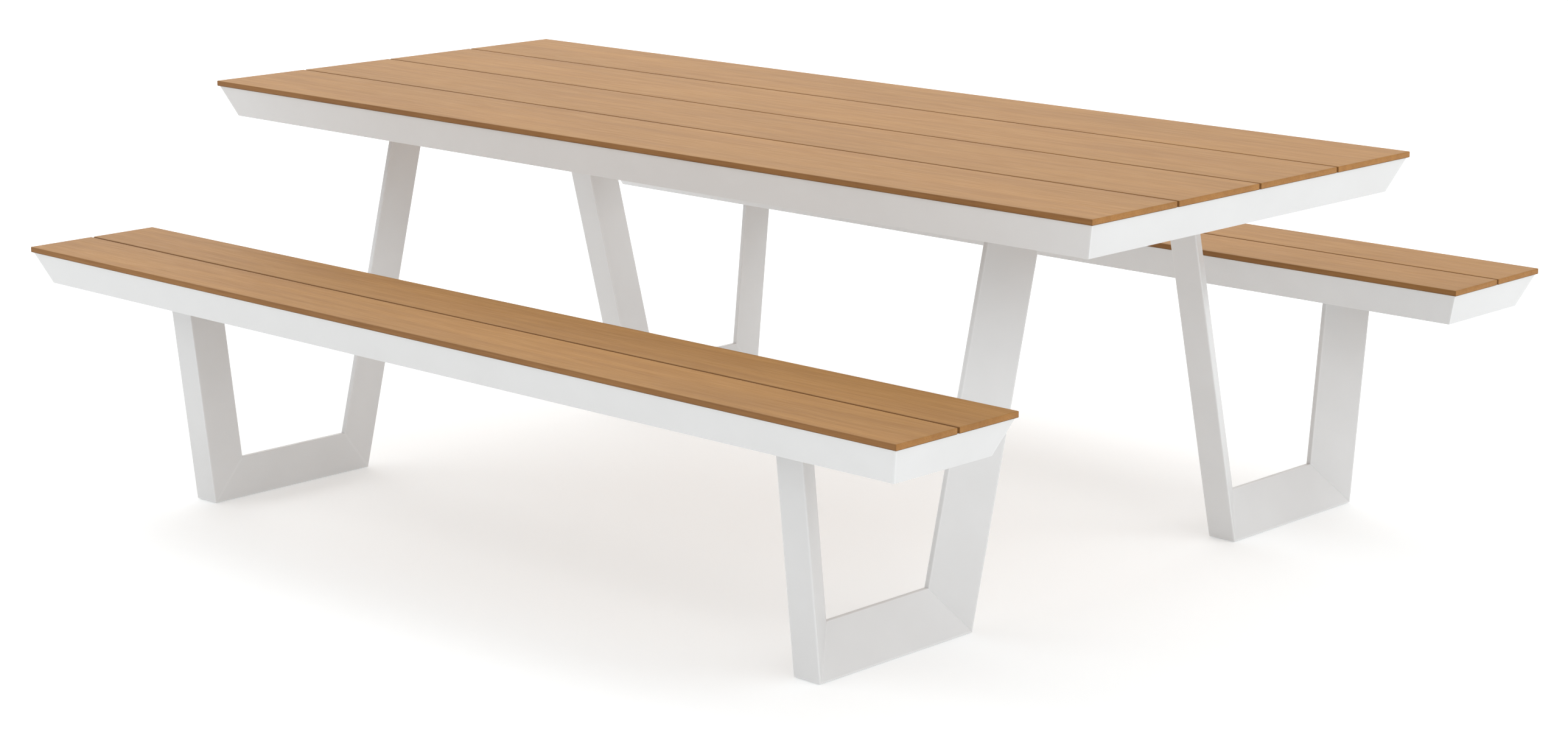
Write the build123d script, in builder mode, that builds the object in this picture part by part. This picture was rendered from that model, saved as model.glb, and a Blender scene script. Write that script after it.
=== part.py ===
"""A picnic table: a boarded top and two boarded benches on four welded U-shaped leg frames.

Millimetres, +Z up. X runs along the table, Y across it, and the origin is on the floor under the
middle of the top. The table is symmetric about both upright planes through the origin.
"""

import os
from math import cos, radians, sin, tan

from build123d import *

os.makedirs("parts", exist_ok=True)

# ---- driving dimensions -------------------------------------------------------------------------

# Trays: the boarded surfaces. Heights are to the top of the boards.
table_length = 2200.0
table_width = 886.0
table_height = 745.0
bench_length = 2200.0
bench_width = 282.0
bench_height = 473.0
bench_offset = 754.0  # from the table's centre plane to a bench's

# Boards
board_thickness = 10.5
board_gap = 5.0
board_arris = 1.5
table_board_count = 4
bench_board_count = 2

# Rails: folded sheet that leans inwards towards its bottom edge
rail_height = 60.0
rail_top_inset = 3.0
rail_bottom_inset = 28.5
rail_sheet = 2.5
rail_flange = 22.0
rail_lip = 15.0
rail_bend = 1.5

# Bearers: rectangular tube under the boards
bearer_width = 60.0
bearer_depth = 30.0
bearer_wall = 2.5

# Leg frames: a wedge section, flat towards the middle of the table and thin on the inside of the U
frame_flat_x = 753.0
wedge_thick = 60.0
wedge_thin = 9.5
wedge_wall = 3.0
wedge_round = 1.5
leg_width = 75.0
foot_bar_height = 79.0
outer_foot_y = 743.0
inner_foot_y = 370.0
outer_lean = 6.3
inner_lean = 14.1

# Leg plates and their fixings
plate_length = 153.0
plate_thickness = 6.0
plate_round = 6.0
bolt_pitch_x = 34.0
bolt_pitch_y = 115.0
bolt_radius = 4.0
bolt_clearance_radius = 4.5
bolt_head_across_flats = 13.0
bolt_head_height = 5.3
washer_radius = 8.0
washer_thickness = 1.6
bolt_end_spare = 1.0
thread_slack = 0.05
tapping_plate_length = 140.0
tapping_plate_thickness = 6.0
tapping_plate_slack = 0.5

# Board screws, from below through the bearers
screw_radius = 2.4
screw_hole_radius = 2.5
screw_bite = 6.0
screw_head_radius = 4.75
screw_head_height = 2.5
screw_hole_spare = 0.5
table_screw_lines = (40.0, 140.0, 330.0, 405.0)  # either side of the table's centre plane
bench_screw_line_outer = 100.0  # either side of a bench's centre plane, clear of the leg plates
bench_screw_line_inner = 35.0

# Foot glides
glide_height = 1.5
glide_radius = 14.0
glide_stem_radius = 5.0
glide_stem_length = 8.0
glide_inset = 60.0  # from the end of the foot bar's underside

# ---- worked out from those ----------------------------------------------------------------------

rail_lean_run = rail_bottom_inset - rail_top_inset
rail_slope = Vector(rail_lean_run, rail_height).normalized()  # up the outside of the web
rail_web_thickness = rail_sheet / rail_slope.Y  # measured level

table_underside = table_height - board_thickness
bench_underside = bench_height - board_thickness
bearer_leg_x = frame_flat_x + wedge_thick / 2
bearer_rows = [
    ("right_end", bearer_leg_x),
    ("right_middle", bearer_leg_x / 3),
    ("left_middle", -bearer_leg_x / 3),
    ("left_end", -bearer_leg_x),
]
table_plate_top = table_underside - bearer_depth
bench_plate_top = bench_underside - bearer_depth
table_leg_top = table_plate_top - plate_thickness
bench_leg_top = bench_plate_top - plate_thickness

foot_bottom = glide_height
foot_top = foot_bottom + foot_bar_height


def leg_outside_y(foot_y, lean, height):
    """How far from the centre plane a leg's outside edge is at this height. lean is from upright."""
    return foot_y + (height - foot_bottom) * tan(radians(lean))


leg_level_width = {
    "outer": leg_width / cos(radians(outer_lean)),
    "inner": leg_width / cos(radians(inner_lean)),
}
table_plate_y = leg_outside_y(inner_foot_y, -inner_lean, table_leg_top) + leg_level_width["inner"] / 2
bench_plate_y = leg_outside_y(outer_foot_y, outer_lean, bench_leg_top) - leg_level_width["outer"] / 2


def save(builder, node):
    """Labels a finished piece and writes it as one STEP file."""
    builder.part.label = node
    export_step(builder.part, f"parts/{node}.step")


# ---- boards -------------------------------------------------------------------------------------


def boards(prefix, length, width, centre_y, top, count, screw_points):
    """The boards of one tray, front to back, each with blind holes for its screws underneath."""
    board_width = (width - (count - 1) * board_gap) / count
    for number in range(count):
        board_y = centre_y - width / 2 + board_width / 2 + number * (board_width + board_gap)
        own_screws = [(x, y) for x, y in screw_points if abs(y - board_y) < board_width / 2]
        underside = top - board_thickness
        with BuildPart() as board:
            with BuildSketch(Plane.XY.offset(underside)):
                with Locations((0, board_y)):
                    Rectangle(length, board_width)
            extrude(amount=board_thickness)
            fillet(board.edges(), board_arris)
            with BuildSketch(Plane.XY.offset(underside)):
                with Locations(*own_screws):
                    Circle(screw_hole_radius)
            extrude(amount=screw_bite + screw_hole_spare, mode=Mode.SUBTRACT)
        save(board, f"{prefix}_board_{number + 1}")


# ---- rails --------------------------------------------------------------------------------------


def web_outside(drop):
    """The outside of a rail's web, measured outwards from the board's edge, this far below the boards."""
    return -rail_top_inset - drop * rail_lean_run / rail_height


def web_inside(drop):
    """The inside of a rail's web, measured the same way."""
    return web_outside(drop) - rail_web_thickness


def rails(prefix, length, width, centre_y, underside):
    """Four mitred rails round one tray. The section is drawn outwards and upwards from the board's edge."""
    outer_corners = [
        (web_outside(0) - rail_flange, 0),
        (web_outside(0), 0),
        (web_outside(rail_height), -rail_height),
        (web_outside(rail_height) - rail_lip, -rail_height),
    ]
    inner_corners = [
        (web_outside(rail_height) - rail_lip, -rail_height + rail_sheet),
        (web_inside(rail_height - rail_sheet), -rail_height + rail_sheet),
        (web_inside(rail_sheet), -rail_sheet),
        (web_outside(0) - rail_flange, -rail_sheet),
    ]
    sides = [
        ("back", Vector(0, 1, 0), width / 2, length / 2),
        ("front", Vector(0, -1, 0), width / 2, length / 2),
        ("right", Vector(1, 0, 0), length / 2, width / 2),
        ("left", Vector(-1, 0, 0), length / 2, width / 2),
    ]
    centre = Vector(0, centre_y, underside)
    for side, outwards, reach, half_span in sides:
        along = outwards.cross(Vector(0, 0, 1))
        middle = centre + outwards * reach
        with BuildPart() as rail:
            with BuildSketch(Plane(origin=middle, x_dir=outwards, z_dir=along)):
                with BuildLine():
                    FilletPolyline(*outer_corners, radius=rail_bend)
                    Polyline(outer_corners[-1], *inner_corners, outer_corners[0])
                make_face()
            extrude(amount=half_span, both=True)
            for end in (1, -1):
                corner = middle + along * (end * half_span)
                mitre = Plane(origin=corner, z_dir=along * end - outwards)
                split(bisect_by=mitre, keep=Keep.BOTTOM)
        save(rail, f"{prefix}_rail_{side}")


# ---- bearers ------------------------------------------------------------------------------------


def bolt_points(x, y):
    """The four bolt centres of a leg plate whose middle is here."""
    return [
        (x + dx * bolt_pitch_x / 2, y + dy * bolt_pitch_y / 2) for dx in (1, -1) for dy in (1, -1)
    ]


def bearers(prefix, width, centre_y, underside, plate_ys, screw_points):
    """The tubes across one tray: coped under the rails' flanges and cut to the lean of their webs."""
    half_width = width / 2
    for row, x in bearer_rows:
        own_screws = [point for point in screw_points if abs(point[0] - x) < bearer_width / 2]
        with BuildPart() as bearer:
            section_plane = Plane(
                origin=(x, centre_y, underside - bearer_depth / 2), x_dir=(1, 0, 0), z_dir=(0, -1, 0)
            )
            with BuildSketch(section_plane):
                Rectangle(bearer_width, bearer_depth)
                Rectangle(
                    bearer_width - 2 * bearer_wall, bearer_depth - 2 * bearer_wall, mode=Mode.SUBTRACT
                )
            extrude(amount=half_width, both=True)
            for side in (1, -1):
                web_plane = Plane(
                    origin=(x, centre_y + side * (half_width + web_inside(0)), underside),
                    z_dir=(0, side * rail_slope.Y, -rail_slope.X),
                )
                split(bisect_by=web_plane, keep=Keep.BOTTOM)
                flange_end = half_width + web_outside(0) - rail_flange
                with BuildSketch(Plane.XY.offset(underside - rail_sheet)):
                    with Locations((x, centre_y + side * (flange_end + rail_flange / 2))):
                        Rectangle(bearer_width, rail_flange)
                extrude(amount=rail_sheet, mode=Mode.SUBTRACT)
            with BuildSketch(Plane.XY.offset(underside - bearer_depth)):
                with Locations(*own_screws):
                    Circle(screw_hole_radius)
            extrude(amount=bearer_depth, mode=Mode.SUBTRACT)
            if row.endswith("_end"):
                with BuildSketch(Plane.XY.offset(underside - bearer_depth)):
                    for plate_y in plate_ys:
                        with Locations(*bolt_points(x, plate_y)):
                            Circle(bolt_clearance_radius)
                extrude(amount=bearer_wall, mode=Mode.SUBTRACT)
        save(bearer, f"{prefix}_bearer_{row}")


# ---- leg frames ---------------------------------------------------------------------------------


def crossing_y(foot_y, lean, inwards):
    """Where the inside edge of a leg meets the top of the foot bar. inwards is +1 or -1 along Y."""
    level_width = leg_width / cos(radians(lean))
    return leg_outside_y(foot_y, lean, foot_top) + inwards * level_width


def mitre_plane(foot_y, lean, inwards):
    """The upright plane through a corner of the U, from its outside to its inside, facing away from the leg."""
    run = Vector(0, crossing_y(foot_y, lean, inwards) - foot_y, foot_bar_height)
    normal = run.cross(Vector(inwards, 0, 0))
    return Plane(origin=(0, foot_y, foot_bottom), z_dir=normal)


def wedge_section(plane, width, towards_end):
    """The hollow wedge, drawn from its outside edge. towards_end is +1 where the plane's y is the table's +X."""
    corners = [
        (0, 0),
        (width, 0),
        (width, towards_end * wedge_thin),
        (0, towards_end * wedge_thick),
    ]
    with BuildSketch(plane) as section:
        with BuildLine():
            Polyline(*corners, close=True)
        make_face()
        cavity = offset(section.face(), amount=-wedge_wall, mode=Mode.PRIVATE)
        fillet(section.vertices(), wedge_round)
        add(cavity, mode=Mode.SUBTRACT)
    return section.sketch


def leg(foot_y, lean, inwards, top):
    """One leg of the right-hand back frame, mitred to the foot bar and cut level at the top."""
    direction = Vector(0, sin(radians(lean)), cos(radians(lean)))
    across = Vector(0, inwards * cos(radians(lean)), -inwards * sin(radians(lean)))
    start = Vector(frame_flat_x, foot_y, foot_bottom) - direction * leg_width
    plane = Plane(origin=start, x_dir=across, z_dir=direction)
    with BuildPart() as member:
        extrude(wedge_section(plane, leg_width, -inwards), amount=top + 2 * leg_width)
        split(bisect_by=Plane.XY.offset(top), keep=Keep.BOTTOM)
        split(bisect_by=mitre_plane(foot_y, lean, inwards), keep=Keep.BOTTOM)
    return member


def foot_bar():
    """The foot bar of the right-hand back frame, mitred at both ends, with a hole for each glide's stem."""
    plane = Plane(
        origin=(frame_flat_x, inner_foot_y, foot_bottom), x_dir=(0, 0, 1), z_dir=(0, 1, 0)
    )
    with BuildPart() as member:
        extrude(wedge_section(plane, foot_bar_height, 1), amount=outer_foot_y - inner_foot_y)
        split(bisect_by=mitre_plane(outer_foot_y, outer_lean, -1), keep=Keep.TOP)
        split(bisect_by=mitre_plane(inner_foot_y, -inner_lean, 1), keep=Keep.TOP)
        with BuildSketch(Plane.XY.offset(foot_bottom)):
            with Locations(*glide_points):
                Circle(glide_stem_radius)
        extrude(amount=wedge_wall, mode=Mode.SUBTRACT)
    return member


glide_points = [
    (bearer_leg_x, inner_foot_y + glide_inset),
    (bearer_leg_x, outer_foot_y - glide_inset),
]
corner_names = [
    ("right_back", 1, 1),
    ("right_front", 1, -1),
    ("left_back", -1, 1),
    ("left_front", -1, -1),
]


def save_at_corners(piece, node):
    """Writes a piece of the right-hand back frame for all four frames, mirrored to its place."""
    for corner, side_x, side_y in corner_names:
        with BuildPart() as placed:
            add(piece.part)
            if side_x < 0:
                mirror(about=Plane.YZ, mode=Mode.REPLACE)
            if side_y < 0:
                mirror(about=Plane.XZ, mode=Mode.REPLACE)
        save(placed, f"{node}_{corner}")


def leg_plate(y, top):
    """The plate that is welded to a leg and bolted up to a bearer."""
    with BuildPart() as plate:
        with BuildSketch(Plane.XY.offset(top - plate_thickness)) as outline:
            with Locations((bearer_leg_x, y)):
                Rectangle(bearer_width, plate_length)
            fillet(outline.vertices(), plate_round)
            with Locations(*bolt_points(bearer_leg_x, y)):
                Circle(bolt_clearance_radius, mode=Mode.SUBTRACT)
        extrude(amount=plate_thickness)
    return plate


# ---- fixings ------------------------------------------------------------------------------------


def at_all_corners(points):
    """The same points in all four quarters of the table."""
    return [(side_x * x, side_y * y) for _, side_x, side_y in corner_names for x, y in points]


def tapping_plates(y, plate_top, node):
    """The threaded plates that lie in the bottom of the end bearers, over the leg plates."""
    floor_of_tube = plate_top + bearer_wall
    width = bearer_width - 2 * bearer_wall - 2 * tapping_plate_slack
    with BuildPart() as plates:
        with BuildSketch(Plane.XY.offset(floor_of_tube)):
            with Locations(*at_all_corners([(bearer_leg_x, y)])):
                Rectangle(width, tapping_plate_length)
            with Locations(*at_all_corners(bolt_points(bearer_leg_x, y))):
                Circle(bolt_radius, mode=Mode.SUBTRACT)
        extrude(amount=tapping_plate_thickness)
    save(plates, node)


def leg_bolts(y, plate_top, node):
    """Hexagon-head bolts with a washer, from under the leg plates into the tapping plates."""
    points = at_all_corners(bolt_points(bearer_leg_x, y))
    washer_bottom = plate_top - plate_thickness - washer_thickness
    tip = plate_top + bearer_wall + tapping_plate_thickness + bolt_end_spare
    head_bottom = washer_bottom - bolt_head_height
    with BuildPart() as bolts:
        with BuildSketch(Plane.XY.offset(head_bottom)):
            with Locations(*points):
                RegularPolygon(bolt_head_across_flats / 2, 6, major_radius=False)
        extrude(amount=bolt_head_height)
        with BuildSketch(Plane.XY.offset(washer_bottom)):
            with Locations(*points):
                Circle(washer_radius)
        extrude(amount=washer_thickness)
        with BuildSketch(Plane.XY.offset(head_bottom)):
            with Locations(*points):
                Circle(bolt_radius - thread_slack)
        extrude(amount=tip - head_bottom)
    save(bolts, node)


def board_screws(points, underside, node):
    """Pan-head screws up through the bearers, biting into the boards."""
    seat = underside - bearer_depth
    with BuildPart() as screws:
        with BuildSketch(Plane.XY.offset(seat)):
            with Locations(*points):
                Circle(screw_radius)
        extrude(amount=bearer_depth + screw_bite)
        with BuildSketch(Plane.XY.offset(seat - screw_head_height)) as heads:
            with Locations(*points):
                Circle(screw_head_radius)
        extrude(amount=screw_head_height)
        head_rims = screws.edges().group_by(Axis.Z)[0]
        fillet(head_rims, screw_head_height / 2)
    save(screws, node)


def foot_glides():
    """Thin discs with a stem that presses into the foot bar."""
    points = at_all_corners(glide_points)
    with BuildPart() as glides:
        with BuildSketch(Plane.XY):
            with Locations(*points):
                Circle(glide_radius)
        extrude(amount=glide_height)
        with BuildSketch(Plane.XY):
            with Locations(*points):
                Circle(glide_stem_radius - thread_slack)
        extrude(amount=glide_stem_length)
    save(glides, "foot_glides")


# ---- assembly -----------------------------------------------------------------------------------

table_screws = [(x, side * y) for _, x in bearer_rows for y in table_screw_lines for side in (1, -1)]
boards("table", table_length, table_width, 0, table_height, table_board_count, table_screws)
rails("table", table_length, table_width, 0, table_underside)
bearers(
    "table", table_width, 0, table_underside, (table_plate_y, -table_plate_y), table_screws
)

bench_screws = []
for bench, side_y in (("back_bench", 1), ("front_bench", -1)):
    centre_y = side_y * bench_offset
    own_screws = []
    for row, x in bearer_rows:
        lines = [bench_screw_line_outer]
        if row.endswith("_middle"):
            lines.append(bench_screw_line_inner)
        own_screws += [(x, centre_y + side * line) for line in lines for side in (1, -1)]
    boards(bench, bench_length, bench_width, centre_y, bench_height, bench_board_count, own_screws)
    rails(bench, bench_length, bench_width, centre_y, bench_underside)
    bearers(bench, bench_width, centre_y, bench_underside, (side_y * bench_plate_y,), own_screws)
    bench_screws += own_screws

save_at_corners(leg(outer_foot_y, outer_lean, -1, bench_leg_top), "outer_leg")
save_at_corners(leg(inner_foot_y, -inner_lean, 1, table_leg_top), "inner_leg")
save_at_corners(foot_bar(), "foot_bar")
save_at_corners(leg_plate(bench_plate_y, bench_plate_top), "bench_leg_plate")
save_at_corners(leg_plate(table_plate_y, table_plate_top), "table_leg_plate")

tapping_plates(table_plate_y, table_plate_top, "table_tapping_plates")
tapping_plates(bench_plate_y, bench_plate_top, "bench_tapping_plates")
leg_bolts(table_plate_y, table_plate_top, "table_leg_bolts")
leg_bolts(bench_plate_y, bench_plate_top, "bench_leg_bolts")
board_screws(table_screws, table_underside, "table_board_screws")
board_screws(bench_screws, bench_underside, "bench_board_screws")
foot_glides()
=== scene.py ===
"""The looks of the picnic table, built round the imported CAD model.

Metres, +Z up, in the model's own frame: X runs along the table and the floor is at Z = 0.
Every CAD node is rebuilt here with softer edges, weld seams, threads and a worn-in surface, and
sits where the node's own box says.
"""

from math import atan2, ceil, cos, pi, radians, sin, sqrt, tan

import bmesh
import bpy
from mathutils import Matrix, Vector, noise


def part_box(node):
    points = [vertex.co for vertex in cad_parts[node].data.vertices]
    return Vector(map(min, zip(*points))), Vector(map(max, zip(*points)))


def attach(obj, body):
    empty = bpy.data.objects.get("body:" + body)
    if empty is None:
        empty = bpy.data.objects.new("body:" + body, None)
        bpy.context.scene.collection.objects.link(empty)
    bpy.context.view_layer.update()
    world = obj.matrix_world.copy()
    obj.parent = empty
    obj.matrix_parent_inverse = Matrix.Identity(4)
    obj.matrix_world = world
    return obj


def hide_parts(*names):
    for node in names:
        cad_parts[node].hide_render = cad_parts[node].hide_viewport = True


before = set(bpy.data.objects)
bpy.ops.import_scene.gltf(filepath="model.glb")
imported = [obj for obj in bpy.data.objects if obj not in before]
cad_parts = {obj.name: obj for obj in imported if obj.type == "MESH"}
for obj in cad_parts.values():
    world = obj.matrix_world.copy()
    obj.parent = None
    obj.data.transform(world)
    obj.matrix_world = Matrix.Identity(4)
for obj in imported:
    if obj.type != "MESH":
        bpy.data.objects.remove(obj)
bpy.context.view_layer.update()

MM = 0.001
UP = Vector((0, 0, 1))

# ---- sizes that the boxes of the CAD nodes don't give ---------------------------------------------

BOARD_ARRIS = 1.5 * MM
BOARD_LEAST_ARRIS = 0.02 * MM  # what is left of the arris at a board's very ends
BOARD_RELIEF = 0.06 * MM  # how deep the planed hollows along the boards are
RELIEF_ALONG = 1.6  # waves of the hollows per metre along a board
RELIEF_ACROSS = 95  # and across it
RELIEF_CONTRAST = 1.6
BOARD_ROWS = 44  # mesh strips across a board's top
BOARD_STATIONS = 40  # mesh strips along it

RAIL_BOTTOM_INSET = 28.5 * MM
RAIL_SHEET = 2.5 * MM
RAIL_FLANGE = 22 * MM
RAIL_LIP = 15 * MM
RAIL_ROUND = 0.9 * MM

BEARER_WALL = 2.5 * MM
BEARER_ROUND = 1.0 * MM
BEARER_END_BAND = 1 * MM  # the short coped ends have room for only a narrow band of painted highlight
COPE_GAP = 0.02 * MM  # keeps the closed skins of a bearer's tube and its coped ends apart
PLATE_ROUND = 6 * MM
TAPPING_PLATE_ROUND = 1 * MM

LEG_WIDTH = 75 * MM
WEDGE_THIN = 9.5 * MM
WEDGE_WALL = 3 * MM
WEDGE_ROUND = 1.5 * MM

JOINT_CHAMFER = 0.5 * MM
SEAM_RADIUS = 1.0 * MM  # a seam weld that was ground flush
SEAM_PROUD = 0.12 * MM
TRAY_SEAM_STEP = 6 * MM
FOOT_SEAM_STEP = 8 * MM
LEG_WELD_RADIUS = 2.6 * MM
LEG_WELD_DROP = 0.8 * MM  # how far below its plate a leg's bead is centred
BEARER_WELD_RADIUS = 2.1 * MM
WELD_RIPPLE_PITCH = 1.7 * MM
WELD_STEP = WELD_RIPPLE_PITCH / 3
WELD_RIPPLE = 0.16  # how much a bead swells at each pool, as a share of its radius
BEAD_SIDES = 8
# how much lighter the white coat is painted on a weld bead, a painted highlight
BEAD_PAINTED_HIGHLIGHT = 0.4

BOLT_PITCH_X = 34 * MM
BOLT_PITCH_Y = 115 * MM
BOLT_RADIUS = 4 * MM
BOLT_THREAD_PITCH = 1.25 * MM
BOLT_THREAD_DEPTH = 0.6 * MM
THREAD_SLACK = 0.05 * MM
THREAD_ROWS = 4  # mesh rings per turn of a thread
THREAD_FADE = 3  # a thread is full between 1 / THREAD_FADE of its length from either end
THREAD_WEAR = 0.3
BOLT_HEAD_FLATS = 13 * MM
BOLT_HEAD_HEIGHT = 5.3 * MM
BOLT_HEAD_BEVEL = 0.9 * MM
BOLT_DISH_RADIUS = 5 * MM  # the forged hollow in the head's face
WASHER_RADIUS = 8 * MM
WASHER_THICKNESS = 1.6 * MM

SCREW_RADIUS = 2.4 * MM
SCREW_THREAD_PITCH = 2.2 * MM
SCREW_THREAD_DEPTH = 0.5 * MM
SCREW_HEAD_RADIUS = 4.75 * MM
SCREW_HEAD_HEIGHT = 2.5 * MM
SCREW_HEAD_BULGE = 0.55  # the share of the head's height that is rounded
SCREW_RECESS_RADIUS = 1.5 * MM
SCREW_RECESS_DEPTH = 1.5 * MM
SCREW_RECESS_LOBES = 6
SCREW_RECESS_LOBE_DEPTH = 0.16  # as a share of the recess's radius
TABLE_SCREW_LINES = (40 * MM, 140 * MM, 330 * MM, 405 * MM)
BENCH_SCREW_LINE_OUTER = 100 * MM
BENCH_SCREW_LINE_INNER = 35 * MM

GLIDE_INSET = 60 * MM
GLIDE_STEM_RADIUS = 4.9 * MM
GLIDE_RIM = 0.6 * MM
GLIDE_RIM_CUT = 0.3  # how far the middle of the rim's round lies in from its corner, as a share
GLIDE_DISH = 0.3 * MM
GLIDE_DISH_SHARE = 0.55  # the dish's flat roof, as a share of the glide's radius
GLIDE_LAND_SHARE = 0.62  # where the ring that stands on the floor begins

ARC_STEPS = 4
RING_STEPS = 24
LEAST_ROUND = 0.2 * MM  # the tightest arc on a section that has been inset
BROKEN_EDGE = 0.3 * MM
EDGE_BAND = 2.5 * MM  # how far the wear, and on the white coat the painted highlight, beside an arris reaches onto the flat
SHARP_ANGLE = 38  # degrees: a crease above this is shaded as an edge
NEARLY = 1e-7  # metres: places closer than this count as the same

TRAYS = ("table", "front_bench", "back_bench")
BOARD_COUNTS = {"table": 4, "front_bench": 2, "back_bench": 2}
CORNERS = (
    ("right_back", 1, 1),
    ("right_front", 1, -1),
    ("left_back", -1, 1),
    ("left_front", -1, -1),
)
BEARER_ROWS = ("right_end", "right_middle", "left_middle", "left_end")


# ---- node helpers ---------------------------------------------------------------------------------


def add_node(tree, kind, inputs=None, **settings):
    """Adds a shader node. An input's value is a number, a colour or another node's output."""
    made = tree.nodes.new("ShaderNode" + kind)
    for key, value in settings.items():
        setattr(made, key, value)
    for key, value in (inputs or {}).items():
        if isinstance(value, bpy.types.NodeSocket):
            tree.links.new(value, made.inputs[key])
        else:
            made.inputs[key].default_value = value
    return made


def arithmetic(tree, operation, first, second=0.0, third=0.0):
    made = add_node(tree, "Math", {0: first, 1: second, 2: third}, operation=operation)
    return made.outputs[0]


def stretched_noise(tree, scale, offset=(0, 0, 0), detail=2.0, roughness=0.5):
    """Noise over the row frame's own metres, with its own number of cells per metre on each axis."""
    where = add_node(tree, "TexCoord").outputs["Object"]
    placed = add_node(tree, "Mapping", {"Vector": where, "Location": offset, "Scale": scale})
    texture = add_node(
        tree,
        "TexNoise",
        {"Vector": placed.outputs[0], "Scale": 1.0, "Detail": detail, "Roughness": roughness},
    )
    return texture.outputs["Fac"]


def remap(tree, value, low, high, to_low=0.0, to_high=1.0):
    made = add_node(
        tree,
        "MapRange",
        {"Value": value, "From Min": low, "From Max": high, "To Min": to_low, "To Max": to_high},
    )
    return made.outputs[0]


def mixed_colour(tree, factor, first, second, mode="MIX"):
    made = add_node(tree, "Mix", data_type="RGBA", blend_type=mode)
    for index, value in ((0, factor), (6, first), (7, second)):
        if isinstance(value, bpy.types.NodeSocket):
            tree.links.new(value, made.inputs[index])
        else:
            made.inputs[index].default_value = value
    return made.outputs[2]


def edge_wear_and_highlight(tree):
    """1 on an arris or a joint's edge and 0 on the flats, as the meshes carry it. On the white coat it
    marks a painted highlight; on wood, zinc and plastic it marks wear.
    """
    return add_node(tree, "Attribute", attribute_name="edge").outputs["Fac"]


def new_material(name):
    """An empty material with a Principled shader: (material, tree, shader)."""
    made = bpy.data.materials.new(name)
    made.use_nodes = True
    tree = made.node_tree
    tree.nodes.clear()
    shader = add_node(tree, "BsdfPrincipled")
    output = add_node(tree, "OutputMaterial")
    tree.links.new(shader.outputs[0], output.inputs["Surface"])
    return made, tree, shader


def grey(level, alpha=1.0):
    return (level, level, level, alpha)


# ---- materials ------------------------------------------------------------------------------------


GRAIN_SHIFT = (3.71, 7.13, 1.37)  # how far one seed moves the grain, so that no two boards match
END_TINT = (1.035, 0.965, 0.90, 1)
# Painted shade: multipliers that darken a board's long sides, lower arris and underside for the light
# that does not reach them; the lower arris carries a painted shadow line.
SIDE_PAINTED_SHADE = (0.71, 0.64, 0.58, 1)
LOWER_ARRIS_PAINTED_SHADOW = (0.40, 0.36, 0.34, 1)
UNDERSIDE_PAINTED_SHADE = (0.90, 0.90, 0.90, 1)


def board_end_tint_and_painted_shade(tree):
    """White on a board's top and redder on its cut ends; painted shade down its sides and on its
    underside, and a painted shadow along its lower arris.
    """
    normal = add_node(tree, "TexCoord").outputs["Normal"]
    axes = add_node(tree, "SeparateXYZ", {0: normal}).outputs
    endways = arithmetic(tree, "ABSOLUTE", axes["X"])
    sideways = arithmetic(tree, "ABSOLUTE", axes["Y"])
    downwards = arithmetic(tree, "MULTIPLY", axes["Z"], -1.0)
    tint = mixed_colour(tree, remap(tree, endways, 0.35, 0.9), grey(1.0), END_TINT)
    # painted shade down the sides, then a painted shadow on the lower arris and painted shade on the
    # underside
    tint = mixed_colour(tree, remap(tree, sideways, 0.35, 0.9), tint, SIDE_PAINTED_SHADE)
    tint = mixed_colour(tree, remap(tree, downwards, 0.10, 0.40), tint, LOWER_ARRIS_PAINTED_SHADOW)
    return mixed_colour(tree, remap(tree, downwards, 0.93, 0.99), tint, UNDERSIDE_PAINTED_SHADE)


def board_material(name, seed, tone):
    """Oiled brown board with fine straight grain along X. tone shifts the board's own lightness."""
    material, tree, shader = new_material(name)
    shift = tuple(seed * part for part in GRAIN_SHIFT)
    fibres = stretched_noise(tree, (13, 430, 430), shift, detail=3.0, roughness=0.62)
    bands = stretched_noise(tree, (3.2, 62, 62), shift, detail=2.0)
    drift = stretched_noise(tree, (1.6, 7, 7), shift, detail=2.0)
    pores = stretched_noise(tree, (42, 1050, 1050), shift, detail=1.0)

    light = (0.436, 0.2215, 0.059, 1)
    middle = (0.360, 0.172, 0.041, 1)
    dark = (0.255, 0.105, 0.020, 1)
    ground = mixed_colour(tree, remap(tree, fibres, 0.28, 0.74), middle, light)
    ground = mixed_colour(tree, remap(tree, bands, 0.60, 0.34, 0.0, 0.32), ground, dark)
    pore_share = remap(tree, pores, 0.64, 0.76, 0.0, 0.42)
    ground = mixed_colour(tree, pore_share, ground, dark)
    lightness = arithmetic(tree, "ADD", remap(tree, drift, 0.3, 0.7, 0.94, 1.06), tone)
    wear_and_highlight = arithmetic(tree, "MULTIPLY_ADD", edge_wear_and_highlight(tree), -0.08, lightness)
    tint = add_node(tree, "CombineColor", {0: wear_and_highlight, 1: wear_and_highlight, 2: wear_and_highlight}).outputs[0]
    colour = mixed_colour(tree, 1.0, ground, tint, "MULTIPLY")
    # multiplies in the cut ends' tint and the painted shade of the sides, lower arris and underside
    colour = mixed_colour(tree, 1.0, colour, board_end_tint_and_painted_shade(tree), "MULTIPLY")
    tree.links.new(colour, shader.inputs["Base Color"])

    gloss = remap(tree, fibres, 0.3, 0.7, 0.66, 0.55)
    tree.links.new(gloss, shader.inputs["Roughness"])
    height = arithmetic(tree, "MULTIPLY_ADD", pores, -0.5, fibres)
    bump = add_node(tree, "Bump", {"Strength": 0.35, "Distance": 0.25 * MM, "Height": height})
    tree.links.new(bump.outputs[0], shader.inputs["Normal"])
    shader.inputs["IOR"].default_value = 1.43
    return material


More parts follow.
